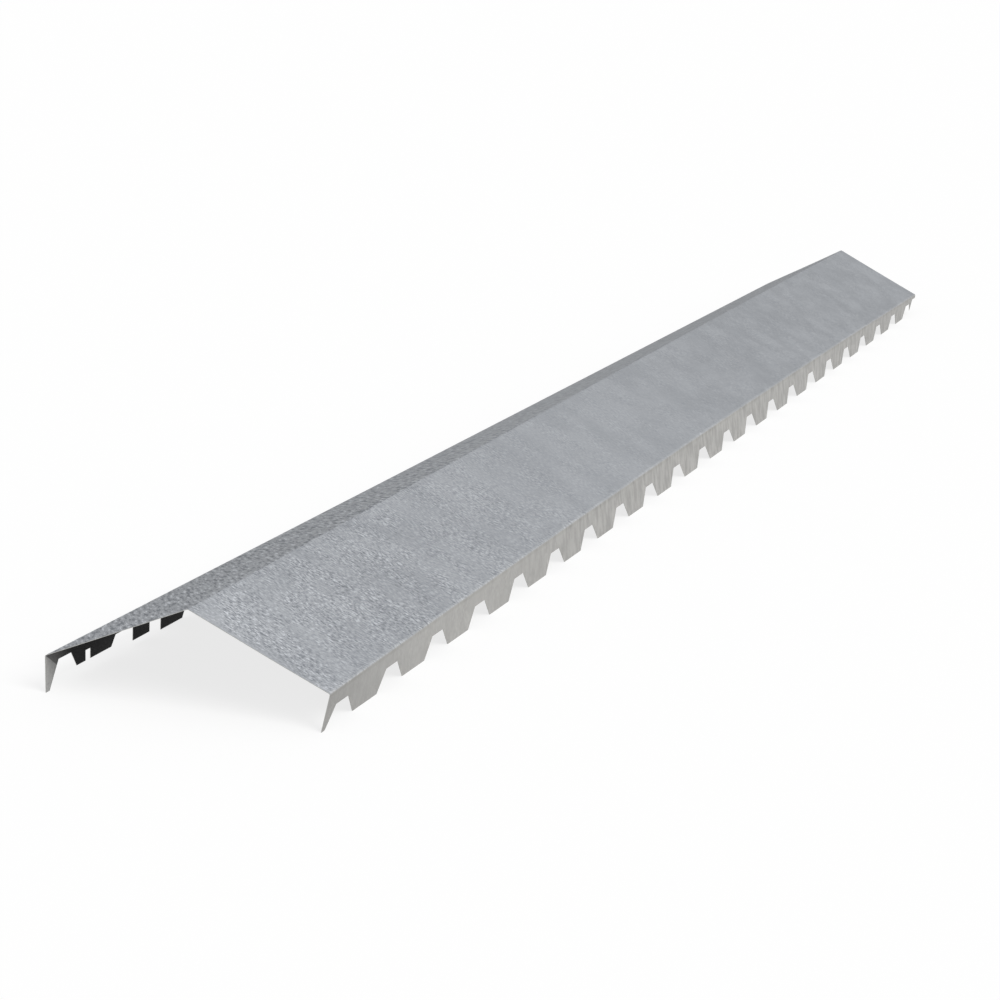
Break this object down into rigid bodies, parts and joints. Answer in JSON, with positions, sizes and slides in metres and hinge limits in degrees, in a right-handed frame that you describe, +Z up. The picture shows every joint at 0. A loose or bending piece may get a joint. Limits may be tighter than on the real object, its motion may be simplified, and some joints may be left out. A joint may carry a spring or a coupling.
{
  "type": "roof ridge cap",
  "caption": "Folded galvanised steel ridge cap with two sloping wings and down-turned comb flanges, notched to sit over the ribs of a trapezoidal roof sheet.",
  "frame": {"origin": "midway along the cap, under the ridge, on the level of the tooth tips that it stands on", "axes": "X across the ridge, Y along the ridge, Z up"},
  "size_m": [0.274, 3, 0.0956],
  "materials": {
    "galvanised_sheet": "hot-dip galvanised, dull with a fine spangle"
  },
  "bodies": {
    "root": {"ridge_cap": "galvanised_sheet"}
  },
  "joints": []
}
